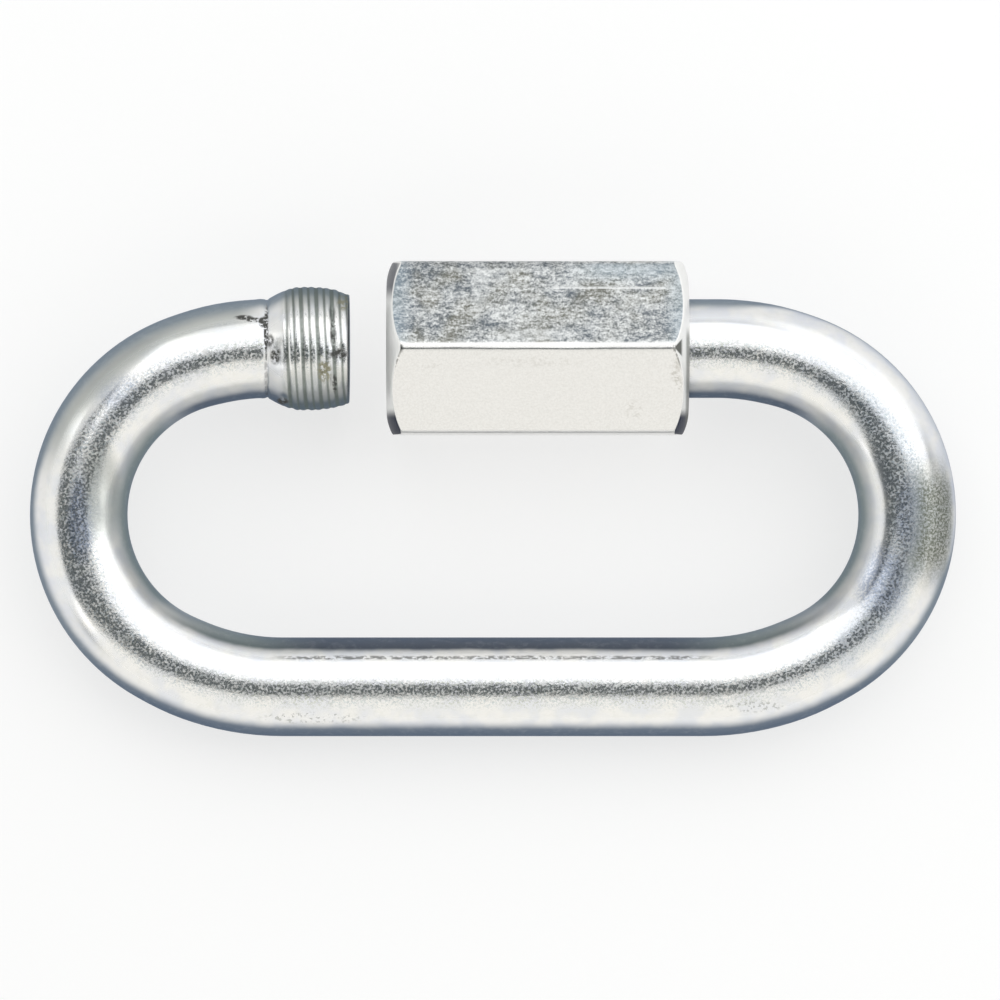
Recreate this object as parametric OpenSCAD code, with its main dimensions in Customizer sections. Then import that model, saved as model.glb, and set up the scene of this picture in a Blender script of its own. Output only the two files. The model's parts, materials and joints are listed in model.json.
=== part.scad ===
// Oval quick link lying at rest: a bent round rod with two upset ends, and a hexagonal sleeve nut.
// Millimetres, +Z up. +X runs along the nut and +Y points to the nut's side of the loop.
// The origin is on the floor below the middle of the part.

/* [Rod] */
// Diameter of the round rod
rod_d = 8; // [7:0.5:8.5]
// Overall length over both bows
link_length = 75; // [72:1:85]
// Clear width between the two straight sides
clear_width = 19.4; // [18:0.2:22]
// Centreline radius where a bow leaves a straight side
shoulder_r = 20; // [18:0.5:24]
// Turn of a bow's shoulder on the nut's side, in degrees
nut_side_turn = 20; // [14:1:26]
// Turn of a bow's shoulder on the plain side, in degrees
plain_side_turn = 30; // [20:1:36]
// How much thinner bending draws the rod at the nose of a bow
bend_thinning = 0.1; // [0.06:0.02:0.3]

/* [Threaded ends] */
// Diameter of the upset ends over their thread crests
thread_d = 10; // [9.5:0.1:10.6]
// Length of the upset end that the nut closes onto
near_end_length = 6.5; // [5.5:0.5:8]
// Length of the upset end that carries the nut
far_end_length = 12; // [10:0.5:14]
// Length of the smooth collar between rod and thread
collar_length = 1.6; // [1.2:0.1:2]
// Length of the rounded lead-in of an end
lead_in_length = 3.2; // [2:0.1:3.8]
// Drop of the lead-in's radius at the end face
lead_in_drop = 0.55; // [0.3:0.05:0.8]
// Opening between the two end faces
mouth_width = 10; // [8:0.5:11]

/* [Sleeve nut] */
// Width across the flats
nut_across_flats = 14; // [13.5:0.1:15]
// Length of the nut
nut_length = 24.5; // [22:0.5:26]
// Diameter over the rounded long edges, as a part of the sharp width across corners
nut_edge_share = 0.982; // [0.97:0.002:0.995]
// Radius that rounds both ends of the nut
nut_crown_r = 4; // [3:0.25:5]
// Radial running clearance around the thread crests
bore_clearance = 0.05; // [0.02:0.01:0.1]
// Depth of the chamfer at both mouths of the bore
bore_chamfer = 0.45; // [0.2:0.05:0.6]
// Gap between the near end face and the nut as it lies
rest_gap = 3; // [1:0.5:6]

/* [Hidden] */
$fn = 96;
rod_r = rod_d / 2;
thread_r = thread_d / 2;
bore_r = thread_r + bore_clearance;
side_spacing = clear_width + rod_d;

// A bow is three arcs that run into each other: shoulder, nose and shoulder.
// Each arc is a little thinner than what it leaves, and starts this many degrees inside it
bend_lap = 1;
shoulder_d = rod_d - bend_thinning / 2;
nose_d = rod_d - bend_thinning;
nose_r = shoulder_r - (2 * shoulder_r - side_spacing) / (cos(nut_side_turn) + cos(plain_side_turn));
bow_step = shoulder_r - nose_r;
bow_reach = bow_step * sin(nut_side_turn) + nose_r;
bow_x = link_length / 2 - nose_d / 2 - bow_reach;
plain_x = bow_x + bow_step * (sin(nut_side_turn) - sin(plain_side_turn));

// Places along the nut's axis, counted from the middle of the loop
near_face_x = -bow_x + near_end_length;
far_face_x = near_face_x + mouth_width;
far_base_x = far_face_x + far_end_length;
nut_x = near_face_x + rest_gap;

// The collar leaves the rod with a small step and a short lip, and then widens to the thread
collar_step = 0.05 * (thread_r - rod_r);
collar_lip = 0.35 * (thread_r - rod_r);
lead_in_r = (lead_in_length * lead_in_length + lead_in_drop * lead_in_drop) / (2 * lead_in_drop);

// Half the angle of the narrow land that rounds each long edge of the nut
nut_corner_r = nut_across_flats / sqrt(3);
nut_edge_r = nut_edge_share * nut_corner_r;
edge_half_angle = 30 - acos(nut_across_flats / 2 / nut_edge_r);

// At rest the plain side and the nut's lowest edge touch the floor, so the loop leans about X
lean_run = side_spacing - nut_edge_r * sin(edge_half_angle);
lean_drop = nut_edge_r * cos(edge_half_angle);
lean = acos(rod_r / norm([lean_run, lean_drop])) - atan2(lean_run, lean_drop);
nut_top_y = side_spacing * cos(lean) + nut_edge_r * sin(120 - edge_half_angle - lean);
middle_y = (nut_top_y - rod_r) / 2;

// Lays the loop, drawn flat with its plain side along X, down on the floor
module at_rest() {
    translate([0, -middle_y, rod_r])
        rotate([lean, 0, 0])
            children();
}

module straight(from_x, to_x) {
    translate([from_x, 0, 0])
        rotate([0, 90, 0])
            cylinder(d = rod_d, h = to_x - from_x);
}

// An arc of rod about the origin, between two directions in degrees
module bend(radius, diameter, from, to) {
    rotate([0, 0, from])
        rotate_extrude(angle = to - from)
            translate([radius, 0])
                circle(d = diameter);
}

// The bow on the +X side, from the nut's side round to the plain side
module bow() {
    nose_x = bow_x + bow_step * sin(nut_side_turn);
    nose_y = side_spacing - shoulder_r + bow_step * cos(nut_side_turn);
    translate([bow_x, side_spacing - shoulder_r, 0])
        bend(shoulder_r, shoulder_d, 90 - nut_side_turn, 90 + bend_lap);
    translate([nose_x, nose_y, 0])
        bend(nose_r, nose_d, plain_side_turn - 90 - bend_lap, 90 - nut_side_turn + bend_lap);
    translate([plain_x, shoulder_r, 0])
        bend(shoulder_r, shoulder_d, -90 - bend_lap, plain_side_turn - 90);
}

// An upset end along +X: collar, thread at its crest diameter and rounded lead-in.
// The rod it grows from runs into it
module upset_end(length) {
    thread_end = length - lead_in_length;
    rotate([0, 90, 0])
        rotate_extrude() {
            polygon([
                [0, 0],
                [rod_r + collar_step, 0],
                [rod_r + collar_lip, collar_lip],
                [thread_r, collar_length],
                [thread_r, thread_end],
                [0, thread_end]
            ]);
            intersection() {
                translate([0, thread_end])
                    square([thread_r, lead_in_length]);
                translate([thread_r - lead_in_r, thread_end])
                    circle(r = lead_in_r);
            }
        }
}

module link_rod() {
    color([0.74, 0.75, 0.76])
        at_rest() {
            straight(-plain_x, plain_x);
            bow();
            mirror([1, 0, 0])
                bow();
            translate([0, side_spacing, 0]) {
                translate([-bow_x, 0, 0])
                    upset_end(near_end_length);
                translate([far_base_x, 0, 0])
                    mirror([1, 0, 0])
                        upset_end(far_end_length);
                straight(far_base_x - collar_length, bow_x);
            }
        }
}

// A cylinder along Z whose two ends are rounded, used to turn the ends of the hexagonal bar
module crowned_bar() {
    crown_from_r = bore_r;
    rotate_extrude() {
        square([crown_from_r, nut_length]);
        translate([0, nut_crown_r])
            square([nut_edge_r, nut_length - 2 * nut_crown_r]);
        for (axial = [nut_crown_r, nut_length - nut_crown_r])
            intersection() {
                translate([crown_from_r, axial])
                    circle(r = nut_crown_r);
                square([nut_edge_r, nut_length]);
            }
    }
}

module mouth_chamfer() {
    cylinder(r1 = bore_r + bore_chamfer, r2 = bore_r, h = bore_chamfer);
}

module sleeve_nut() {
    color([0.80, 0.80, 0.79])
        at_rest()
            translate([nut_x, side_spacing, 0])
                rotate([0, 90, 0])
                    difference() {
                        intersection() {
                            cylinder(r = nut_corner_r, h = nut_length, $fn = 6);
                            crowned_bar();
                        }
                        cylinder(r = bore_r, h = nut_length);
                        mouth_chamfer();
                        translate([0, 0, nut_length])
                            mirror([0, 0, 1])
                                mouth_chamfer();
                    }
}

link_rod();
sleeve_nut();
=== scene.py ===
"""Looks of an oval quick link: a bent, zinc-plated rod with two threaded ends, and its sleeve nut."""

import json
import math

import bpy
import numpy as np
from mathutils import Matrix, Vector


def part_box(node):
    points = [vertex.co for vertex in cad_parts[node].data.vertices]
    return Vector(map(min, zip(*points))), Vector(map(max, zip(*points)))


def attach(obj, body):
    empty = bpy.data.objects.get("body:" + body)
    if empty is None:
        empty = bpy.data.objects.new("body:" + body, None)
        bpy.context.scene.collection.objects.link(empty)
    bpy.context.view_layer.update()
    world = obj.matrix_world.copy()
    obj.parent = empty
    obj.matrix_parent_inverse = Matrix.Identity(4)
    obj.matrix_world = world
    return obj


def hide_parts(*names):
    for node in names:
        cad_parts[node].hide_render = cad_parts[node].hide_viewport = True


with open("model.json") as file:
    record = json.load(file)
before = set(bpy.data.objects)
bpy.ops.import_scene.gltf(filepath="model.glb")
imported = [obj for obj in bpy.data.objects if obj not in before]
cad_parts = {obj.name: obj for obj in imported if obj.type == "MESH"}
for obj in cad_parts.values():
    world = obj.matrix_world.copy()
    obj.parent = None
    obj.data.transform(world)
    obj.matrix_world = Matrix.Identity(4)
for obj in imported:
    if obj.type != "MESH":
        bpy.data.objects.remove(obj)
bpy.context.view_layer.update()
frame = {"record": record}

MM = 0.001
TURN = 2 * math.pi

# Points closer than this are one point
SEAM = 0.002 * MM

# Sizes of the bent rod
ROD_R = 4 * MM
SHOULDER_R = 20 * MM
NUT_SIDE_TURN = math.radians(20)
PLAIN_SIDE_TURN = math.radians(30)
NOSE_R_LOSS = 0.05 * MM
NOSE_FADE_TURN = math.radians(14)

# Sizes of the upset ends
THREAD_R = 5 * MM
PITCH = 1.25 * MM
NEAR_END_LENGTH = 6.5 * MM
FAR_END_LENGTH = 12 * MM
MOUTH_WIDTH = 10 * MM
COLLAR_STEP = 0.05 * MM
COLLAR_LENGTH = 2.5 * MM
COLLAR_CURVE = 1.6
LEAD_IN_LENGTH = 3.2 * MM
LEAD_IN_DROP = 0.55 * MM
RIM_ROUND = 0.15 * MM
RIM_DROP = 0.075 * MM

# The thread on the ends, with half widths as shares of the pitch
THREAD_FROM = 0.96 * MM
THREAD_FADE = 0.7 * PITCH
THREAD_DEPTH = 0.075 * MM
LEAD_IN_DEPTH_LOSS = 0.5
CREST_HALF = 0.23
ROOT_HALF = 0.03
CREST_LINE_DEPTH = 0.055 * MM
CREST_LINE_HALF = 0.17
# How much of the grooves' painted grime and shade the crest line gets
CREST_LINE_GRIME_AND_SHADE = 0.9

# The lip and the crease just before an end: height, distance from the end, half width
LIP_LENGTH = 1.2 * MM
ROOT_LIP = (0.03 * MM, 0.60 * MM, 0.22 * MM)
ROOT_CREASE = (0.06 * MM, 0.16 * MM, 0.12 * MM)

# Dents of the open end: distance from the rod, degrees from the loop's outside, length, half turn, depth
NEAR_DENTS = [
    (6.1 * MM, 4, 0.35 * MM, 9, 0.30 * MM),
    (5.2 * MM, 52, 0.22 * MM, 10, 0.16 * MM),
    (5.3 * MM, 78, 0.25 * MM, 9, 0.18 * MM),
    (5.9 * MM, 96, 0.30 * MM, 7, 0.14 * MM),
    (4.4 * MM, 108, 0.30 * MM, 8, 0.12 * MM),
    (5.2 * MM, 124, 0.20 * MM, 12, 0.15 * MM),
    (1.0 * MM, 92, 0.35 * MM, 9, 0.05 * MM),
    (1.3 * MM, 150, 0.35 * MM, 7, 0.10 * MM)]
NO_DENTS = []

# Sizes of the sleeve nut
NUT_SIDES = 6
NUT_EDGE_SHARE = 0.982
NUT_EDGE_SOFTNESS = 0.2 * MM
NUT_CROWN_R = 4 * MM
BORE_R = 5.05 * MM
BORE_CHAMFER = 0.45 * MM
NUT_THREAD_DEPTH = 0.34 * MM

# The worn land along the nut's long edges, and its unevenness: share, length, start
LAND_LEAN = math.radians(13)
LAND_CUT = 0.10 * MM
LAND_SHARE = 0.25
LAND_SOFTNESS = 0.03 * MM
LAND_MEAN = 0.85
LAND_WAVES = [(0.22, 2.9 * MM, 0), (0.12, 0.95 * MM, 1)]

# How finely the pieces are cut
ROD_SPOKES = 144
RING_STEP = 0.05 * MM
FAR_RING_STEP = 0.12 * MM
BEND_STEP = math.radians(2.5)
PLAIN_RINGS = 40
FAR_ROD_RINGS = 30
NUT_SPOKES = 240
EDGE_CROWDING = 0.75
CROWN_RINGS = 26
NUT_RINGS = 60
BORE_RING_STEP = 0.155 * MM

# Which points belong to an end, as shares of a radius
SKIN_SHARE = 0.9
REACH_SHARE = 1.5

# The loop as the frame lays it down: along the link, across the loop to the nut, and out of its plane
mounts = {mount["name"]: mount for mount in frame["record"]["mounts"]}
outer_flat = Vector(mounts["spanner_flat_outer"]["pos_m"])
inner_flat = Vector(mounts["spanner_flat_inner"]["pos_m"])
nut_low, nut_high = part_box("sleeve_nut")
rod_low, rod_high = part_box("link_rod")
along = Vector((1, 0, 0))
across = (outer_flat - inner_flat).normalized()
out = along.cross(across)
flats_apart = (outer_flat - inner_flat).length
nut_corner_r = flats_apart / math.sqrt(3)
nut_middle = (outer_flat + inner_flat) / 2
plain_axis = Vector((0, rod_low.y + ROD_R, rod_low.z + ROD_R))
spacing = (nut_middle - plain_axis).dot(across)
bench_to_rest = Matrix.Translation(plain_axis) @ Matrix((along, across, out)).transposed().to_4x4()

# Places on the bench, where the loop lies flat with its plain side along X
turned_in = math.cos(NUT_SIDE_TURN) + math.cos(PLAIN_SIDE_TURN)
nose_r = SHOULDER_R - (2 * SHOULDER_R - spacing) / turned_in
bow_step = SHOULDER_R - nose_r
bow_reach = bow_step * math.sin(NUT_SIDE_TURN) + nose_r
bow_x = rod_high.x - (ROD_R - NOSE_R_LOSS) - bow_reach
plain_x = bow_x + bow_step * (math.sin(NUT_SIDE_TURN) - math.sin(PLAIN_SIDE_TURN))
nose_x = bow_x + bow_step * math.sin(NUT_SIDE_TURN)
nose_y = spacing - SHOULDER_R + bow_step * math.cos(NUT_SIDE_TURN)
near_face_x = NEAR_END_LENGTH - bow_x
far_face_x = near_face_x + MOUTH_WIDTH
far_base_x = far_face_x + FAR_END_LENGTH
nut_axis = np.array([spacing, 0])


# Modelling by hand

def add_ring(x, y, radius, spokes, fill="NOTHING"):
    """Adds a ring that faces along X, applies its place and leaves its outline selected in edit mode."""
    bpy.ops.object.select_all(action="DESELECT")
    bpy.ops.mesh.primitive_circle_add(
        vertices=spokes, radius=radius, fill_type=fill, location=(x, y, 0), rotation=(0, TURN / 4, 0))
    bpy.ops.object.transform_apply(location=True, rotation=True, scale=True)
    bpy.ops.object.mode_set(mode="EDIT")
    bpy.ops.mesh.select_mode(type="EDGE")
    return bpy.context.object


def finish_section():
    """Leaves edit mode and gives the section."""
    bpy.ops.object.mode_set(mode="OBJECT")
    return bpy.context.object


def straight_section(x_from, x_to, y, radius, spokes, rings):
    """A straight length of tube skin, cut into rings."""
    section = add_ring(x_from, y, radius, spokes)
    bpy.ops.mesh.extrude_region_move(TRANSFORM_OT_translate={"value": (x_to - x_from, 0, 0)})
    bpy.ops.mesh.select_all(action="DESELECT")
    bpy.ops.object.mode_set(mode="OBJECT")
    corners = section.data.vertices
    for edge in section.data.edges:
        start, end = edge.vertices
        edge.select = abs(corners[start].co.x - corners[end].co.x) > abs(x_to - x_from) / 2
    bpy.ops.object.mode_set(mode="EDIT")
    bpy.ops.mesh.subdivide(number_cuts=rings - 1)
    return finish_section()


def turned_section(profile, y, spokes):
    """A turned length of skin that follows (x, radius) points."""
    first_x, first_r = profile[0]
    add_ring(first_x, y, first_r, spokes)
    for (x_from, r_from), (x_to, r_to) in zip(profile, profile[1:]):
        bpy.ops.mesh.extrude_region_move(TRANSFORM_OT_translate={"value": (x_to - x_from, 0, 0)})
        widen = r_to / r_from
        bpy.ops.transform.resize(value=(1, widen, widen), center_override=(x_to, y, 0))
    return finish_section()


def end_face(x, y, radius, spokes):
    """A flat end whose faces meet in its middle."""
    add_ring(x, y, radius, spokes, "TRIFAN")
    return finish_section()


def join_sections(name, sections):
    """Joins the sections of one piece, merges their seams and turns the faces outwards."""
    bpy.ops.object.select_all(action="DESELECT")
    for section in sections:
        section.select_set(True)
    bpy.context.view_layer.objects.active = sections[0]
    bpy.ops.object.join()
    piece = bpy.context.object
    piece.name = name
    bpy.ops.object.mode_set(mode="EDIT")
    bpy.ops.mesh.select_all(action="SELECT")
    bpy.ops.mesh.remove_doubles(threshold=SEAM)
    bpy.ops.mesh.normals_make_consistent(inside=False)
    bpy.ops.object.mode_set(mode="OBJECT")
    return piece


def lay_down(piece):
    """Moves a finished piece from the bench to where it lies at rest."""
    piece.matrix_world = bench_to_rest
    bpy.ops.object.transform_apply(location=True, rotation=True, scale=True)
    bpy.ops.object.shade_smooth()


def paint(piece, name, values):
    """Keeps a number for each point of a piece, which its finish reads."""
    layer = piece.data.attributes.new(name, "FLOAT", "POINT")
    layer.data.foreach_set("value", values.astype(np.float32))


def get_points(piece):
    points = np.empty(3 * len(piece.data.vertices), np.float32)
    piece.data.vertices.foreach_get("co", points)
    return points.reshape(-1, 3).astype(float)


def set_points(piece, points):
    piece.data.vertices.foreach_set("co", points.astype(np.float32).ravel())
    piece.data.update()


def smooth(share):
    """An S-shaped rise from 0 to 1."""
    share = np.clip(share, 0, 1)
    return share * share * (3 - 2 * share)


def soft_min(a, b, softness):
    """The smaller of two values, with the corner between them rounded."""
    blend = np.clip(0.5 + 0.5 * (b - a) / softness, 0, 1)
    return b + (a - b) * blend - softness * blend * (1 - blend)


# Threaded ends

def groove(x, angle):
    """Depth of the right-hand groove, from 0 on a crest to 1 in a root."""
    phase = (x / PITCH - angle / TURN) % 1 - 0.5
    return smooth((CREST_HALF - np.abs(phase)) / (CREST_HALF - ROOT_HALF))


def crest_groove(x, angle):
    """A fine line that rolling leaves along the middle of a crest."""
    from_crest = np.abs((x / PITCH - angle / TURN + 0.5) % 1 - 0.5)
    return 1 - smooth(from_crest / CREST_LINE_HALF)


def end_radius(t, length):
    """Radius of an upset end over its crests, at a distance t from the rod."""
    lead_in_r = (LEAD_IN_LENGTH ** 2 + LEAD_IN_DROP ** 2) / (2 * LEAD_IN_DROP)
    past = np.clip(t - (length - LEAD_IN_LENGTH), 0, LEAD_IN_LENGTH)
    lead_in = THREAD_R - lead_in_r + np.sqrt(lead_in_r ** 2 - past ** 2)
    root_r = ROD_R + COLLAR_STEP
    to_crest = 1 - np.clip(t / COLLAR_LENGTH, 0, 1)
    collar = root_r + (THREAD_R - root_r) * (1 - to_crest ** COLLAR_CURVE)
    return np.minimum(collar, lead_in)


def root_lip(t):
    """Radius of the rod just before an upset end: a low lip, then a fine crease against the collar."""
    def swell(height, distance, half_width):
        return height * np.exp(-((t + distance) / half_width) ** 2)
    return ROD_R + swell(*ROOT_LIP) - swell(*ROOT_CREASE)


def dent_depth(t, angle, dents):
    """How deep the dents of an end go at each point."""
    depth = np.zeros(len(t))
    for at_t, at_angle, wide, turn, deep in dents:
        off = (angle - math.radians(at_angle) + math.pi) % TURN - math.pi
        depth += deep * np.exp(-((t - at_t) / wide) ** 2 - (off / math.radians(turn)) ** 2)
    return depth


def cut_end(points, base_x, face_x, lip_length, dents):
    """Turns an upset end to its profile and cuts the thread into it. Gives the depth of the groove."""
    heading = math.copysign(1, face_x - base_x)
    length = abs(face_x - base_x)
    t = (points[:, 0] - base_x) * heading
    arm = points[:, 1:] - nut_axis
    radius = np.hypot(arm[:, 0], arm[:, 1])
    angle = np.arctan2(arm[:, 1], arm[:, 0])
    skin = (radius > SKIN_SHARE * ROD_R) & (radius < REACH_SHARE * THREAD_R)
    skin = skin & (t > -lip_length - SEAM) & (t < length + SEAM)
    rim = smooth((t - length + RIM_ROUND) / RIM_ROUND)
    crest = end_radius(t, length) - RIM_DROP * rim ** 2
    threaded = smooth((t - THREAD_FROM) / THREAD_FADE) * (1 - rim)
    past = smooth((t - length + LEAD_IN_LENGTH) / LEAD_IN_LENGTH)
    cut = groove(points[:, 0], angle)
    line = crest_groove(points[:, 0], angle)
    depth = threaded * (THREAD_DEPTH * (1 - LEAD_IN_DEPTH_LOSS * past) * cut + CREST_LINE_DEPTH * line)
    wanted = np.where(t > 0, crest - depth, root_lip(t)) - dent_depth(t, angle, dents)
    share = np.where(skin, wanted / np.maximum(radius, SEAM), 1)
    points[:, 1:] = nut_axis + arm * share[:, None]
    return np.where(skin & (t > 0), threaded * np.maximum(cut, CREST_LINE_GRIME_AND_SHADE * line), 0)


# The bent rod with its two upset ends

def bow_section(way):
    """The bow on the -X or +X side, from the nut's side round to the plain side."""
    add_ring(way * bow_x, spacing, ROD_R, ROD_SPOKES)
    lip_turn = LIP_LENGTH / SHOULDER_R
    shoulder_turn = NUT_SIDE_TURN - lip_turn
    nose_turn = math.pi - NUT_SIDE_TURN - PLAIN_SIDE_TURN
    nut_side_centre = (way * bow_x, spacing - SHOULDER_R, 0)
    nose_centre = (way * nose_x, nose_y, 0)
    plain_side_centre = (way * plain_x, SHOULDER_R, 0)
    bends = [
        (nut_side_centre, lip_turn, RING_STEP / SHOULDER_R),
        (nut_side_centre, shoulder_turn, BEND_STEP),
        (nose_centre, nose_turn, BEND_STEP),
        (plain_side_centre, PLAIN_SIDE_TURN, BEND_STEP)]
    for centre, turn, step in bends:
        bpy.ops.mesh.spin(steps=round(turn / step), angle=way * turn, center=centre, axis=(0, 0, 1))
    return finish_section()


def raise_near_lip(points):
    """Raises the lip before the near collar, where the bow begins."""
    centre = np.array([-bow_x, spacing - SHOULDER_R])
    arm = points[:, :2] - centre
    reach = np.hypot(arm[:, 0], arm[:, 1])
    turn = np.arctan2(-arm[:, 0], arm[:, 1])
    off = reach - SHOULDER_R
    on_lip = (turn > 0) & (turn < LIP_LENGTH / SHOULDER_R)
    on_lip = on_lip & (np.hypot(off, points[:, 2]) < REACH_SHARE * ROD_R)
    share = np.where(on_lip, root_lip(-turn * SHOULDER_R) / ROD_R, 1)
    points[:, :2] = centre + arm * ((SHOULDER_R + off * share) / np.maximum(reach, SEAM))[:, None]
    points[:, 2] *= share


def thin_bows(points):
    """Draws the rod a little thinner towards the nose of each bow, as bending does."""
    way = np.sign(points[:, 0])
    nose = np.stack([way * nose_x, np.full(len(points), nose_y)], axis=1)
    arm = points[:, :2] - nose
    reach = np.hypot(arm[:, 0], arm[:, 1])
    turn = np.arctan2(arm[:, 1], arm[:, 0] * way)
    past_ends = np.maximum(turn - (TURN / 4 - NUT_SIDE_TURN), PLAIN_SIDE_TURN - TURN / 4 - turn)
    share = NOSE_R_LOSS / ROD_R * (1 - smooth(past_ends / NOSE_FADE_TURN))
    share = np.where(arm[:, 0] * way > 0, share, 0)
    flat = np.where(reach > SEAM, 1 - share * (reach - nose_r) / np.maximum(reach, SEAM), 1)
    points[:, :2] = nose + arm * flat[:, None]
    points[:, 2] *= 1 - share


def make_rod():
    near_rings = round(NEAR_END_LENGTH / RING_STEP)
    far_rings = round((FAR_END_LENGTH + LIP_LENGTH) / FAR_RING_STEP)
    far_lip_x = far_base_x + LIP_LENGTH
    piece = join_sections("link_rod_plated", [
        end_face(near_face_x, spacing, ROD_R, ROD_SPOKES),
        straight_section(near_face_x, -bow_x, spacing, ROD_R, ROD_SPOKES, near_rings),
        bow_section(-1),
        straight_section(-plain_x, plain_x, 0, ROD_R, ROD_SPOKES, PLAIN_RINGS),
        bow_section(1),
        straight_section(bow_x, far_lip_x, spacing, ROD_R, ROD_SPOKES, FAR_ROD_RINGS),
        straight_section(far_lip_x, far_face_x, spacing, ROD_R, ROD_SPOKES, far_rings),
        end_face(far_face_x, spacing, ROD_R, ROD_SPOKES)])
    points = get_points(piece)
    thin_bows(points)
    raise_near_lip(points)
    near_cut = cut_end(points, -bow_x, near_face_x, 0, NEAR_DENTS)
    far_cut = cut_end(points, far_base_x, far_face_x, LIP_LENGTH, NO_DENTS)
    set_points(piece, points)
    lay_down(piece)
    paint(piece, "groove", np.maximum(near_cut, far_cut))
    return piece


# The hexagonal sleeve nut

def make_nut():
    edge_r = NUT_EDGE_SHARE * nut_corner_r
    arc_from = math.asin(BORE_CHAMFER / NUT_CROWN_R)
    arc_to = math.asin((edge_r - BORE_R) / NUT_CROWN_R)
    arc = [arc_from + (arc_to - arc_from) * i / CROWN_RINGS for i in range(CROWN_RINGS + 1)]
    crown = [(NUT_CROWN_R * (1 - math.cos(a)), BORE_R + NUT_CROWN_R * math.sin(a)) for a in arc]
    x_near, x_far = nut_low.x, nut_high.x
    near_crown = [(x_near + BORE_CHAMFER, BORE_R)] + [(x_near + depth, r) for depth, r in crown]
    far_crown = [(x_far - BORE_CHAMFER, BORE_R)] + [(x_far - depth, r) for depth, r in crown]
    bore_rings = round((x_far - x_near - 2 * BORE_CHAMFER) / BORE_RING_STEP)
    piece = join_sections("sleeve_nut_plated", [
        turned_section(near_crown, spacing, NUT_SPOKES),
        straight_section(near_crown[-1][0], far_crown[-1][0], spacing, edge_r, NUT_SPOKES, NUT_RINGS),
        turned_section(far_crown, spacing, NUT_SPOKES),
        straight_section(near_crown[0][0], far_crown[0][0], spacing, BORE_R, NUT_SPOKES, bore_rings)])
    points = get_points(piece)
    cut = mill_nut(points)
    set_points(piece, points)
    lay_down(piece)
    paint(piece, "groove", cut)
    return piece


def bar_radius(x, angle):
    """Radius of the hexagonal bar. A narrow, uneven land that leans one way breaks each long edge."""
    side = TURN / NUT_SIDES
    to_edge = side / 2 - angle % side
    flat_r = flats_apart / 2 / np.cos(side / 2 - np.abs(to_edge))
    uneven = LAND_MEAN
    for share, length, start in LAND_WAVES:
        uneven = uneven + share * np.sin(x / length + start)
    rubbed = uneven * (LAND_SHARE + (1 - LAND_SHARE) * np.sin(angle) ** 4)
    land_from_middle = nut_corner_r * math.cos(LAND_LEAN) - LAND_CUT * rubbed
    land_r = land_from_middle / np.cos(to_edge - LAND_LEAN)
    return soft_min(land_r, flat_r, LAND_SOFTNESS)


def mill_nut(points):
    """Mills the six flats into the turned blank and cuts the thread into its bore."""
    arm = points[:, 1:] - nut_axis
    radius = np.hypot(arm[:, 0], arm[:, 1])
    spoke = np.arctan2(arm[:, 1], arm[:, 0])
    angle = spoke - EDGE_CROWDING * np.sin(NUT_SIDES * spoke - math.pi) / NUT_SIDES
    inside = radius < BORE_R + SEAM
    from_mouth = np.minimum(points[:, 0] - nut_low.x, nut_high.x - points[:, 0])
    fade_in = np.where(inside, smooth((from_mouth - BORE_CHAMFER) / PITCH), 0)
    cut = fade_in * groove(points[:, 0] + PITCH / 2, angle)
    milled_r = soft_min(radius, bar_radius(points[:, 0], angle), NUT_EDGE_SOFTNESS)
    outside_r = np.where(radius > BORE_R + BORE_CHAMFER + SEAM, milled_r, radius)
    new_r = np.where(inside, BORE_R + NUT_THREAD_DEPTH * cut, outside_r)
    points[:, 1] = spacing + new_r * np.cos(angle)
    points[:, 2] = new_r * np.sin(angle)
    return cut


# Shader maths

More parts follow.
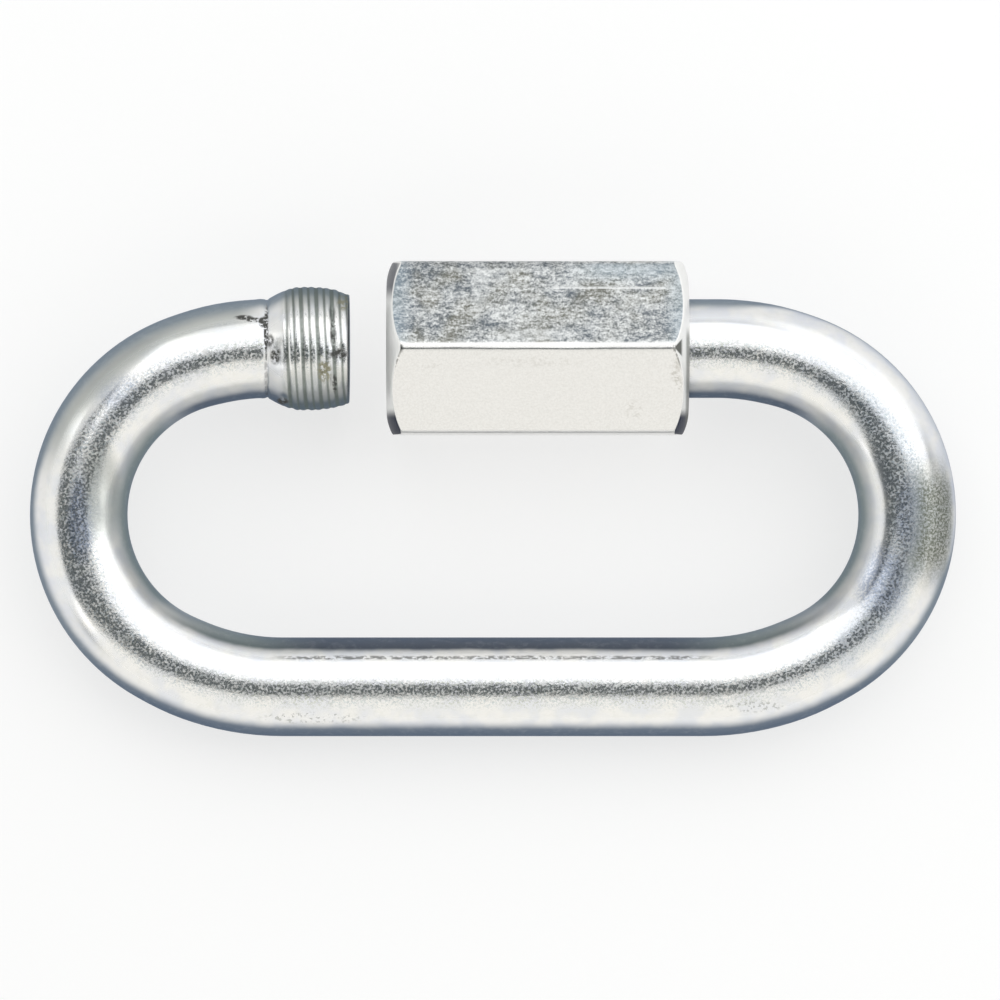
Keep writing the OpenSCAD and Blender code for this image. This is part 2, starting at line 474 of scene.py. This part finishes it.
class Value:
    """A socket of a material, on which Python's operators add Math nodes."""

    def __init__(self, tree, socket=None):
        self.tree = tree
        self.socket = socket

    def node(self, kind, settings=None, inputs=None, output=0):
        """Adds any node: its settings first, then the values or links of its sockets."""
        made = self.tree.nodes.new(kind)
        for name, setting in (settings or {}).items():
            setattr(made, name, setting)
        for name, given in (inputs or {}).items():
            if isinstance(given, Value):
                self.tree.links.new(given.socket, made.inputs[name])
            else:
                made.inputs[name].default_value = given
        return Value(self.tree, made.outputs[output] if made.outputs else None)

    def math(self, operation, *values):
        return self.node("ShaderNodeMath", {"operation": operation}, dict(enumerate(values)))

    def __add__(self, other):
        return self.math("ADD", self, other)

    def __radd__(self, other):
        return self.math("ADD", other, self)

    def __sub__(self, other):
        return self.math("SUBTRACT", self, other)

    def __rsub__(self, other):
        return self.math("SUBTRACT", other, self)

    def __mul__(self, other):
        return self.math("MULTIPLY", self, other)

    def __rmul__(self, other):
        return self.math("MULTIPLY", other, self)

    def __truediv__(self, other):
        return self.math("DIVIDE", self, other)

    def __pow__(self, other):
        return self.math("POWER", self, other)

    def __neg__(self):
        return 0 - self

    def size(self):
        return self.math("ABSOLUTE", self)

    def most(self, other):
        """The larger of two values."""
        return self.math("MAXIMUM", self, other)

    def least(self, other):
        """The smaller of two values."""
        return self.math("MINIMUM", self, other)

    def capped(self):
        """No more than 1."""
        return self.least(1.0)

    def dot(self, axis):
        """How far a vector reaches along an axis."""
        return self.node(
            "ShaderNodeVectorMath", {"operation": "DOT_PRODUCT"}, {0: self, 1: axis}, "Value")

    def rise(self, low, high):
        """A smooth step from 0 at low to 1 at high."""
        return self.node(
            "ShaderNodeMapRange", {"interpolation_type": "SMOOTHSTEP"},
            {"Value": self, "From Min": low, "From Max": high})

    def fall(self, low, high):
        """A smooth step from 1 at low to 0 at high."""
        return 1 - self.rise(low, high)

    def between(self, rise_from, rise_to, fall_from, fall_to):
        """A smooth step up to 1 and down again."""
        return self.rise(rise_from, rise_to) * self.fall(fall_from, fall_to)

    def noise(self, scale, detail=2.0, roughness=0.5):
        return self.node(
            "ShaderNodeTexNoise", None,
            {"Vector": self, "Scale": scale, "Detail": detail, "Roughness": roughness})

    def mix(self, colour, other):
        """Goes from one colour to another as this value goes from 0 to 1."""
        return self.node("ShaderNodeMix", {"data_type": "RGBA"}, {0: self, 6: colour, 7: other}, 2)


def new_material(name):
    material = bpy.data.materials.new(name)
    material.use_nodes = True
    material.node_tree.nodes.clear()
    return material, Value(material.node_tree)


def rgba(red, green, blue):
    return (red, green, blue, 1)


# What both finishes use

SPOT_CORE = 0.15
MATT_GLOSS = 0.1


def bench_place(make):
    """Where a point lies on the loop, in millimetres: along, across from the plain side, and out of it."""
    place = make.node("ShaderNodeTexCoord", output="Object")
    from_plain = make.node("ShaderNodeVectorMath", {"operation": "SUBTRACT"}, {0: place, 1: plain_axis})
    return [from_plain.dot(axis) / MM for axis in (along, across, out)]


def grain_place(make, stretch=(1, 1, 1)):
    """Object coordinates in millimetres, for grain of a real size."""
    place = make.node("ShaderNodeTexCoord", output="Object")
    scale = [share / MM for share in stretch]
    return make.node("ShaderNodeVectorMath", {"operation": "MULTIPLY"}, {0: place, 1: scale})


def thread_grooves(make):
    """The depth of the thread's groove, which the piece keeps for each point."""
    return make.node("ShaderNodeAttribute", {"attribute_name": "groove"}, output="Fac")


def spots(u, v, places):
    """The sum of soft spots, given as (along, across, reach along, reach across, strength)."""
    total = 0
    for at_u, at_v, reach_u, reach_v, strength in places:
        off = ((u - at_u) / reach_u) ** 2 + ((v - at_v) / reach_v) ** 2
        total = total + strength * off.fall(SPOT_CORE, 1)
    return total


def finish_metal(make, colour, rough, height, matt_share, sheen):
    """Closes a metal finish. Its grain's height is in millimetres, and the matt share takes its metal shine
    away, for dirt, painted shade and duller places.
    """
    bump = make.node("ShaderNodeBump", None, {"Strength": 1.0, "Distance": MM, "Height": height})
    shader = make.node("ShaderNodeBsdfPrincipled", None, {
        "Base Color": colour, "Metallic": 1 - matt_share, "Roughness": rough, "Normal": bump,
        "Specular IOR Level": MATT_GLOSS, "Specular Tint": sheen})
    make.node("ShaderNodeOutputMaterial", None, {"Surface": shader})


# Finish of the rod

BRIGHT_ZINC = rgba(0.88, 0.87, 0.85)
COOL_ZINC = rgba(0.79, 0.80, 0.83)
STAINED_ZINC = rgba(0.74, 0.74, 0.68)
DULL_PATCH_SHADE = rgba(0.145, 0.157, 0.125)
VIOLET_ZINC = rgba(0.37, 0.42, 0.53)
WARM_GREY = rgba(0.58, 0.60, 0.51)
COOL_GREY = rgba(0.53, 0.60, 0.62)
BOW_REFLECTION_GREY = rgba(0.36, 0.43, 0.52)
SHOULDER_DARK_GREY = rgba(0.46, 0.475, 0.45)
SIDE_SHEEN = rgba(0.42, 0.48, 0.58)
OUTER_SIDE_SHADE = rgba(0.275, 0.315, 0.345)
LOWER_SIDE_SHADE = rgba(0.14, 0.175, 0.225)
INNER_SIDE_SHADE = rgba(0.085, 0.105, 0.14)
BOW_SIDE_SHADE = rgba(0.215, 0.26, 0.26)
GRIME_AND_SHADE = rgba(0.09, 0.09, 0.085)
ROOT_GRIME_AND_SHADE = rgba(0.18, 0.205, 0.185)
OLIVE_STAIN = rgba(0.27, 0.26, 0.19)
PIT_GREY = rgba(0.33, 0.34, 0.30)

# Zones of the loop, in millimetres along it (U) or across it from the plain side (V)
NUT_SIDE_V = (20, 22)
PLAIN_SIDE_V = (3, 9)
NEAR_SHOULDER_U = (-21, -18.2)
NEAR_SHOULDER_V = (16, 21)
FAR_SHOULDER_U = (19, 25)
FAR_BOW_U = (24, 30)
BOWS_U = (19, 26)
INNER_BOWS_U = (13, 21)
COLLAR_U = (-18.2, -18.0, -17.2, -16.6)
THREAD_U = (-17.4, -16.4, -11.6, -11.4)
END_FACES_U = (14, 16)

# The dull patch on the far bow, rougher and with a painted dark reflection: distance from the bow's nose,
# along, across and half its length
DULL_REACH = (12.4, 14.4, 16.0, 17.4)
DULL_U = (26, 32)
DULL_V = 13.3
DULL_HALF = (2.2, 6.4)

# A painted dark reflection, a broken line on the plain side: across, wander, half width and half length
DARK_LINE_V = 2.42
DARK_LINE_WANDER = 0.22
DARK_LINE_HALF = (0.06, 0.2)
DARK_LINE_U = (15, 19)

# Soft spots: along, across, reach along, reach across, strength
NEAR_DIRT_AND_SHADE = [
    (-18.28, 28.9, 0.22, 2.3, 1.3),
    (-18.30, 25.2, 0.16, 3.0, 0.4),
    (-17.50, 26.8, 0.55, 0.9, 1.1),
    (-17.90, 27.9, 0.35, 0.7, 0.9),
    (-17.00, 23.1, 0.60, 0.35, 1.2),
    (-12.85, 28.6, 0.28, 1.5, 1.1),
    (-12.40, 26.9, 0.95, 0.55, 1.1),
    (-12.75, 24.5, 0.25, 0.9, 1.0),
    (-20.10, 29.85, 0.90, 0.26, 1.1),
    (-19.20, 29.65, 0.90, 0.24, 1.3),
    (-18.55, 29.50, 0.40, 0.55, 1.2)]
NEAR_OLIVE = [
    (-13.55, 25.5, 0.70, 1.10, 1.1),
    (-12.10, 31.0, 0.60, 0.80, 0.9)]
BLUE_TARNISH = [
    (33.6, 14.0, 1.5, 4.0, 0.75),
    (31.2, 8.7, 2.7, 3.6, 0.85),
    (-33.2, 13.5, 1.4, 4.2, 1.0),
    (-30.2, 24.0, 2.4, 1.8, 0.4)]
DARK_BOW_PATCH = [
    (-31.5, 15.6, 1.9, 5.0, 1.0)]
PITTED = [
    (-14.5, -2.45, 5.0, 0.6, 1.0),
    (21.0, -1.5, 3.2, 0.6, 0.9)]


def painted_side_shade(make, normal, u, v, cloud, colour):
    """Painted shade on the sides of the loop, where the surface turns away from its top: bluest inside its
    straight sides, greener in its bows.
    """
    half = spacing / 2 / MM
    past_nose = (u.size() - nose_x / MM).most(0.0) * make.math("SIGN", u)
    to_middle = (past_nose ** 2 + (half - v) ** 2 + 0.01) ** 0.5
    lean = normal.dot(across)
    in_bow = -past_nose * normal.dot(along) / to_middle
    in_loop = lean * (half - v) / to_middle
    below = lean.least(0.0)
    above = lean.most(0.0)
    facing = normal.dot(out) + 0.06 * (cloud - 0.5)
    plain = v.fall(*PLAIN_SIDE_V)
    inside = in_loop.rise(0.3, 0.6)
    bowed = in_bow.rise(0.1, 0.5)
    far_top = normal.dot(along + across).rise(0.5, 1.0) * u.rise(*FAR_SHOULDER_U)

    # Painted shade on top of the near shoulder
    near_top = normal.dot(0.78 * across - 0.62 * along).rise(0.25, 0.6)
    near_top = near_top * u.fall(*NEAR_SHOULDER_U) * v.rise(*NEAR_SHOULDER_V)
    colour = (0.85 * near_top).mix(colour, SHOULDER_DARK_GREY)

    # Painted shade inside the bows
    bow_side = bowed * (facing + 0.12 * above).fall(0.40, 0.84)
    colour = (0.9 * bow_side).mix(colour, BOW_SIDE_SHADE)

    # Painted shade on the outside of the loop
    lit = facing + 0.10 * below + 0.10 * (-in_bow).most(0.0)
    lit = lit + 0.10 * inside + 0.34 * far_top - 0.08 * near_top
    side = lit.fall(0.42, 0.70) * (1 - bowed) * (1 - inside * plain)
    shade = (-below).rise(0.45, 0.9).mix(OUTER_SIDE_SHADE, LOWER_SIDE_SHADE)
    shade = (in_loop.rise(-0.3, 0.75) * (0.45 + 0.55 * plain)).mix(shade, INNER_SIDE_SHADE)
    colour = (0.94 * side).mix(colour, shade)

    # Painted navy shade inside the plain side
    navy = inside * plain * (1 - bowed) * facing.fall(0.60, 0.71)
    inner = u.size().rise(*INNER_BOWS_U).mix(INNER_SIDE_SHADE, BOW_SIDE_SHADE)
    return (0.95 * navy).mix(colour, inner)


def zinc_rod():
    material, make = new_material("bright_zinc_on_rod")
    u, v = bench_place(make)[:2]
    mm = grain_place(make)
    normal = make.node("ShaderNodeTexCoord", output="Normal")
    facing = normal.dot(out)
    lean = normal.dot(across)
    upper_side = facing.rise(0.05, 0.3)
    nut_side = v.rise(*NUT_SIDE_V)
    tufts = mm.noise(2.8, 2, 0.55)
    grain = mm.noise(5.6, 2, 0.6)
    flecks = mm.noise(11.0, 2, 0.6)
    ragged = mm.noise(3.0, 4, 0.7)
    stain = mm.noise(1.5, 4, 0.65)
    cloud = mm.noise(0.5, 2)

    # The grainy top of the rod, and the rougher dull patch on its far bow, which also gets a painted dark
    # reflection
    crown = facing.rise(0.86, 0.975) * (1 - 0.8 * lean.rise(0.09, 0.24))
    sparkle = crown * mm.noise(4.8, 3, 0.65).rise(0.44, 0.66)
    from_nose = ((u - nose_x / MM) ** 2 + (v - nose_y / MM) ** 2) ** 0.5
    dull = from_nose.between(*DULL_REACH) * u.rise(*DULL_U)
    dull = dull * (v - DULL_V).size().fall(*DULL_HALF) * facing.rise(0.2, 0.5)
    rough_zone = 0.15 + 0.85 * crown.most(0.9 * dull)
    height = (0.010 * (tufts - 0.5) + 0.0055 * (grain - 0.5) + 0.003 * (flecks - 0.5)) * rough_zone

    # Zinc with its clouds and stains, a painted dark reflection along its top, and painted shade on its
    # sides
    colour = cloud.rise(0.35, 0.65).mix(COOL_ZINC, BRIGHT_ZINC)
    colour = (0.22 * stain.rise(0.48, 0.68)).mix(colour, STAINED_ZINC)
    # Painted dark reflection: a mottled grey band along the top of the rod, bluer grey on the bows
    painted_top_band = cloud.rise(0.40, 0.60).mix(WARM_GREY, COOL_GREY)
    painted_top_band = (0.8 * u.size().rise(*BOWS_U) * stain.rise(0.38, 0.58)).mix(painted_top_band, BOW_REFLECTION_GREY)
    colour = (0.65 * crown * grain.rise(0.5, 0.62)).mix(colour, painted_top_band)
    colour = (0.3 * crown * u.rise(*FAR_BOW_U)).mix(colour, BOW_REFLECTION_GREY)
    blue = spots(u, v, BLUE_TARNISH).capped() * facing.rise(0.6, 0.9)
    colour = (blue * (0.5 + 0.5 * grain.rise(0.42, 0.56))).mix(colour, VIOLET_ZINC)
    # A darker grey patch on the near bow
    dark_bow_patch = spots(u, v, DARK_BOW_PATCH) * (0.6 + 0.4 * ragged)
    colour = (0.95 * dark_bow_patch).mix(colour, SHOULDER_DARK_GREY)
    # Painted shade on the sides of the loop
    colour = painted_side_shade(make, normal, u, v, cloud, colour)
    worn = stain.rise(0.50, 0.64) * (0.5 + 0.5 * grain.rise(0.45, 0.6)) * facing.fall(0.5, 0.9)
    colour = (0.09 * worn).mix(colour, COOL_ZINC)
    # Painted dark reflection, mottled, on the dull patch of the far bow
    mottle = 0.5 + 0.5 * (0.6 * grain + 0.4 * flecks).rise(0.38, 0.60)
    colour = (dull * mottle).mix(colour, DULL_PATCH_SHADE)

    # A painted dark reflection: a broken line along the plain side
    off_line = (v - DARK_LINE_V + DARK_LINE_WANDER * (mm.noise(0.9, 3) - 0.5)).size()
    dashes = grain_place(make, (0.6, 1, 1)).noise(3.4, 4, 0.7).rise(0.42, 0.54)
    painted_dark_line = off_line.fall(*DARK_LINE_HALF) * dashes
    painted_dark_line = painted_dark_line * u.size().fall(*DARK_LINE_U) * facing.rise(0.3, 0.5)
    colour = (0.75 * painted_dark_line).mix(colour, GRIME_AND_SHADE)

    # Grime and painted shade in the thread: painted shade on its upper and lower sides, grime and painted
    # shade in its grooves
    threaded = u.between(*THREAD_U) * nut_side
    shaded = threaded * facing.fall(0.60, 0.94) * lean.rise(0.1, 0.4)
    lower = threaded * (-lean).rise(0.2, 0.6)
    colour = (0.55 * shaded + 0.48 * lower).mix(colour, ROOT_GRIME_AND_SHADE)
    root = thread_grooves(make).rise(0.20, 0.95) * (0.6 + 0.5 * ragged)
    colour = (0.7 * root * shaded).mix(colour, GRIME_AND_SHADE)
    colour = root.mix(colour, ROOT_GRIME_AND_SHADE)

    # Dirt and painted shade on the open end, and pits on the plain side
    torn = ragged.rise(0.38, 0.55) * upper_side
    colour = (spots(u, v, NEAR_OLIVE) * torn).capped().mix(colour, OLIVE_STAIN)
    # Dirt, and painted shade along the crease where the near collar begins
    dirt_and_shade = (spots(u, v, NEAR_DIRT_AND_SHADE) * torn).capped()
    colour = dirt_and_shade.mix(colour, GRIME_AND_SHADE)
    pits = spots(u, v, PITTED) * mm.noise(3.2, 2, 0.6).rise(0.55, 0.63) * upper_side
    colour = (0.55 * pits).mix(colour, PIT_GREY)
    height = height - 0.025 * pits

    # Sheared faces of the two ends
    end_cut = normal.dot(along).size().rise(0.9, 0.98) * nut_side * u.size().fall(*END_FACES_U)
    sheared = grain_place(make, (1, 0.35, 1.6)).noise(1.8, 4, 0.65)
    colour = (end_cut * sheared.rise(0.42, 0.62)).mix(colour, WARM_GREY)
    height = height + 0.05 * end_cut * sheared

    satin = 0.15 + 0.05 * cloud + 0.24 * facing.fall(0.62, 0.93)
    rough = satin + 0.14 * dull + 0.12 * root + 0.3 * dirt_and_shade + 0.34 * sparkle + 0.12 * end_cut * sheared
    collar = u.between(*COLLAR_U) * nut_side * facing.rise(0.3, 0.7)
    matt = (0.7 * dirt_and_shade).most(0.55 * collar)
    finish_metal(make, colour, rough, height, matt, SIDE_SHEEN)
    return material


# Finish of the nut

RUBBED_ZINC = rgba(0.76, 0.77, 0.765)
WARM_SCALE = rgba(0.165, 0.165, 0.14)
COOL_SCALE = rgba(0.13, 0.15, 0.17)
FACE_BLUE = rgba(0.40, 0.51, 0.60)
LOWER_FACE_DARK = rgba(0.80, 0.79, 0.775)
LOWER_FACE_LIGHT = rgba(0.85, 0.84, 0.825)
FACE_STAIN = rgba(0.70, 0.69, 0.66)
SPECK_BROWN = rgba(0.40, 0.38, 0.33)
CROWN_ZINC = rgba(0.95, 0.945, 0.93)
CROWN_SHADE = rgba(0.09, 0.095, 0.085)
CORNER_SHADE_BLACK = rgba(0.03, 0.036, 0.06)
NUT_SHEEN = rgba(0.97, 0.97, 0.97)

# Zones of the nut, in millimetres along it (U) or across it from the plain side (V)
RUBBED_EDGE_V = (27.4, 27.9)
SPARSE_SCALE_U = (-4, 3)
BLUE_ENDS = (9.6, 11.6)
BLUE_CORNER_U = (5, 9)
BLUE_CORNER_V = (32.2, 33.6)
LOW_CORNERS_V = (21.7, 22.6)
HIGH_CORNER_V = (30.8, 32.4)
SEAM_V = (25.4, 26.4, 27.4, 27.7)
RIM_SHADOW_U = (15.42, 15.62)
RIM_SHADOW_V = (28.0, 29.2)

# The scratch along the upper face: along, across, half width and wander
SCRATCH_U = (4.6, 4.9, 13.8, 14.3)
SCRATCH_V = 32.2
SCRATCH_HALF = (0.05, 0.14)
SCRATCH_WANDER = 0.12

# The painted dark reflection, a wedge at the far end of the lower face: its point, its half width for each
# millimetre, its end
WEDGE_POINT = (14.5, 27.35)
WEDGE_SPREAD = 1.1
WEDGE_END_U = (15.05, 15.25)

# How the matt lower edge leans, and how fine the turning rings are and how far they waver
LOW_EDGE_LEAN = -0.77
TURNING_RATE = 26
TURNING_WAVER = 3

# Light smudges of the upper face and specks of the lower one, given as soft spots
FACE_SMUDGES = [
    (4.9, 32.9, 0.16, 0.9, 1.0),
    (-1.0, 32.2, 0.9, 2.0, 0.55),
    (0.0, 33.6, 5.0, 0.25, 0.6),
    (3.5, 28.4, 3.0, 0.6, 0.7)]
FACE_SPECKS = [
    (14.6, 25.6, 0.5, 1.2, 0.9),
    (14.9, 24.4, 0.4, 1.0, 0.7),
    (11.3, 22.4, 0.9, 0.9, 0.5),
    (-5.0, 25.9, 1.2, 0.25, 0.4),
    (3.0, 26.2, 5.0, 0.5, 0.35)]


def zinc_nut():
    material, make = new_material("bright_zinc_on_drawn_hexagon")
    u, v, w = bench_place(make)
    drawn = grain_place(make, (0.62, 1, 1))
    mm = grain_place(make)
    normal = make.node("ShaderNodeTexCoord", output="Normal")
    lean = normal.dot(across)
    ahead = normal.dot(along)
    end_on = ahead.size()
    grain = drawn.noise(3.2, 4, 0.66)
    flecks = mm.noise(5.6, 3, 0.6)
    patches = drawn.noise(0.5, 3, 0.6)
    streaks = grain_place(make, (0.16, 1, 1)).noise(2.0, 3, 0.6)
    ragged = mm.noise(2.6, 4, 0.7)
    cloud = mm.noise(0.35, 2)
    upper = lean.rise(0.25, 0.45) * end_on.fall(0.2, 0.5)
    crown = end_on.rise(0.3, 0.55)

    # Dark scale on the upper face, with a scratch, smudges and blue corners
    off_scratch = (v - SCRATCH_V + SCRATCH_WANDER * (mm.noise(0.3, 2) - 0.5)).size()
    scratch = off_scratch.fall(*SCRATCH_HALF) * u.between(*SCRATCH_U) * upper * ragged.rise(0.3, 0.5)
    smudge = spots(u, v, FACE_SMUDGES) * ragged.rise(0.3, 0.6)
    speck = 0.5 * grain + 0.4 * flecks + 0.22 * patches + 0.15 * streaks
    speck = speck - 0.03 * u.fall(*SPARSE_SCALE_U)
    rubbed_to = v + 0.9 * (mm.noise(0.45, 2) - 0.5) + 0.5 * (ragged - 0.5)
    dark = speck.fall(0.50, 0.78) * rubbed_to.rise(*RUBBED_EDGE_V)
    dark = dark * (1 - 0.8 * (smudge + scratch).capped())
    scale = cloud.rise(0.35, 0.65).mix(WARM_SCALE, COOL_SCALE)
    face = dark.mix(RUBBED_ZINC, scale)
    middle = (nut_low.x + nut_high.x) / 2 / MM
    blue_corner = u.rise(*BLUE_CORNER_U) * v.rise(*BLUE_CORNER_V) * normal.dot(out).rise(0.5, 0.8)
    blue = (u - middle).size().rise(*BLUE_ENDS).most(blue_corner)
    face = (0.32 * blue).mix(face, FACE_BLUE)

    # The pale lower face, the crowned ends and the upper face
    colour = flecks.rise(0.35, 0.65).mix(LOWER_FACE_DARK, LOWER_FACE_LIGHT)
    specks = spots(u, v, FACE_SPECKS) * lean.fall(-0.35, -0.2) * ragged.rise(0.45, 0.6)
    colour = (0.5 * specks.capped()).mix(colour, SPECK_BROWN)
    colour = (0.22 * ragged.rise(0.5, 0.7)).mix(colour, FACE_STAIN)
    colour = crown.mix(colour, CROWN_ZINC)
    colour = upper.mix(colour, face)

    # Painted shade in black corners, a dark seam round the lower face, and a painted dark reflection and
    # painted shadow on the far crown
    high_corner = (-ahead).rise(0.62, 0.82) * v.rise(*HIGH_CORNER_V)
    corner = (crown * v.fall(*LOW_CORNERS_V)).most(0.85 * high_corner)
    colour = corner.mix(colour, CORNER_SHADE_BLACK)
    seam = end_on.between(0.08, 0.22, 0.38, 0.58) * v.between(*SEAM_V) * ragged.rise(0.35, 0.5)
    wedge_u, wedge_v = WEDGE_POINT
    wedge = (WEDGE_SPREAD * (u - wedge_u) - (v - wedge_v).size()).rise(-0.05, 0.12)
    wedge = wedge * u.fall(*WEDGE_END_U)
    rim_shadow = u.rise(*RIM_SHADOW_U) * v.fall(*RIM_SHADOW_V)
    shade = (crown * (wedge + 0.75 * rim_shadow) + 0.7 * seam).capped()
    colour = (0.92 * shade).mix(colour, CROWN_SHADE)
    # Grime and painted shade in the bore's thread grooves
    colour = (0.7 * thread_grooves(make)).mix(colour, ROOT_GRIME_AND_SHADE)

    # Drawn grain on the faces and turning rings on the crowns
    from_axis = ((v - spacing / MM) ** 2 + w ** 2) ** 0.5
    turning = make.math("SINE", TURNING_RATE * from_axis + TURNING_WAVER * patches) * crown
    height = (0.035 * (grain - 0.5) + 0.018 * (flecks - 0.5)) * (0.2 + 0.8 * upper)
    height = height + 0.018 * scratch + 0.0022 * turning
    rough = 0.18 + 0.10 * cloud + 0.08 * upper + 0.2 * crown
    low_edge = (lean - LOW_EDGE_LEAN).size().fall(0.08, 0.2)
    matt = corner.most(0.45 * crown.most(low_edge))
    finish_metal(make, colour, rough, height, matt, NUT_SHEEN)
    return material


# Camera, floor and light

PICTURE_SIDE = 81 * MM
CAMERA_DISTANCE = 0.7
AIM_ALONG = 0.57 * MM
AIM_ACROSS = 15.13 * MM
SENSOR = 36
FLOOR_SIZE = 20
FLOOR_GLOW = 0.65
FLOOR_DARK = rgba(0.355, 0.355, 0.353)
FLOOR_LIGHT = rgba(0.365, 0.365, 0.363)
STUDIO_GREY = rgba(0.116, 0.130, 0.132)
WHITE = (1, 1, 1)
NEAR_CORNER = (0.68 * across - 0.73 * along).normalized()
FILL_SIDE = (0.978 * -across + 0.208 * along).normalized()

# Softboxes: name, side, first and last angle, distance, width, shift to the right, radiance, tint
SOFTBOXES = [
    ("key", across, 6.5, 65, 0.30, 0.90, 0.29, 1.22, WHITE),
    ("back_strip", across, 68, 94, 0.36, 0.30, -0.04, 0.9, WHITE),
    ("near_corner", NEAR_CORNER, 42, 89, 0.32, 0.22, 0, 0.72, WHITE),
    ("far_strip", across, 66, 94, 0.36, 0.75, 0.485, 1.22, WHITE),
    ("fill", FILL_SIDE, 22, 87, 0.30, 1.10, 0, 0.9, (1, 0.978, 0.935)),
    ("side_near", -along, 53, 89, 0.32, 0.36, -0.01, 0.86, (1, 0.99, 0.965)),
    ("side_far", along, 18, 89, 0.32, 0.12, 0, 0.75, (0.97, 0.99, 1))]


def pale_floor():
    """Pale paper that also looks pale to the camera and in reflections, and keeps the shadow."""
    material, make = new_material("pale_floor")
    place = make.node("ShaderNodeTexCoord", output="Object")
    tone = place.noise(9, 2).mix(FLOOR_DARK, FLOOR_LIGHT)
    paper = make.node("ShaderNodeBsdfDiffuse", None, {"Color": tone})
    camera, glossy, transmission = [
        make.node("ShaderNodeLightPath", output=name)
        for name in ("Is Camera Ray", "Is Glossy Ray", "Is Transmission Ray")]
    shown = camera.most(glossy).most(transmission)
    glow = make.node("ShaderNodeEmission", None, {"Color": rgba(*WHITE), "Strength": FLOOR_GLOW * shown})
    both = make.node("ShaderNodeAddShader", None, {0: paper, 1: glow})
    make.node("ShaderNodeOutputMaterial", None, {"Surface": both})
    return material


def look_matrix(right, up, back, place):
    turn = Matrix((right, up, back)).transposed().to_4x4()
    return Matrix.Translation(place) @ turn


def add_camera():
    data = bpy.data.cameras.new("camera")
    data.sensor_width = SENSOR
    data.lens = SENSOR * CAMERA_DISTANCE / PICTURE_SIDE
    camera = bpy.data.objects.new("camera", data)
    bpy.context.scene.collection.objects.link(camera)
    aim = plain_axis + AIM_ALONG * along + AIM_ACROSS * across
    camera.matrix_world = look_matrix(along, across, out, aim + CAMERA_DISTANCE * out)
    bpy.context.scene.camera = camera


def add_softbox(name, side, low, high, distance, width, shift, radiance, tint):
    """A flat softbox that fills the angles from low to high, from straight out of the loop to a side."""
    middle = math.radians((low + high) / 2)
    half = math.radians((high - low) / 2)
    direction = math.cos(middle) * out + math.sin(middle) * side
    right = side.cross(out)
    up = direction.cross(right)
    data = bpy.data.lights.new(name, "AREA")
    data.shape = "RECTANGLE"
    data.size = width
    data.size_y = 2 * distance * math.tan(half)
    data.energy = radiance * math.pi * data.size * data.size_y
    data.color = tint
    lamp = bpy.data.objects.new(name, data)
    bpy.context.scene.collection.objects.link(lamp)
    loop_middle = plain_axis + spacing / 2 * across
    place = loop_middle + distance * direction + shift * right
    lamp.matrix_world = look_matrix(right, up, direction, place)


def add_stage():
    bpy.ops.object.select_all(action="DESELECT")
    bpy.ops.mesh.primitive_plane_add(size=FLOOR_SIZE, location=(0, 0, 0))
    floor = bpy.context.object
    floor.name = "floor"
    floor.data.materials.append(pale_floor())
    for softbox in SOFTBOXES:
        add_softbox(*softbox)
    world = bpy.data.worlds.new("studio")
    world.use_nodes = True
    world.node_tree.nodes["Background"].inputs["Color"].default_value = STUDIO_GREY
    bpy.context.scene.world = world


link_rod = make_rod()
sleeve_nut = make_nut()
link_rod.data.materials.append(zinc_rod())
sleeve_nut.data.materials.append(zinc_nut())
for piece, body, node, slot in (
        (link_rod, "link", "link_rod", "zinc_rod"),
        (sleeve_nut, "nut", "sleeve_nut", "zinc_nut")):
    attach(piece, body)
    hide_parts(node)
add_camera()
add_stage()
bpy.context.scene.view_settings.view_transform = "Standard"
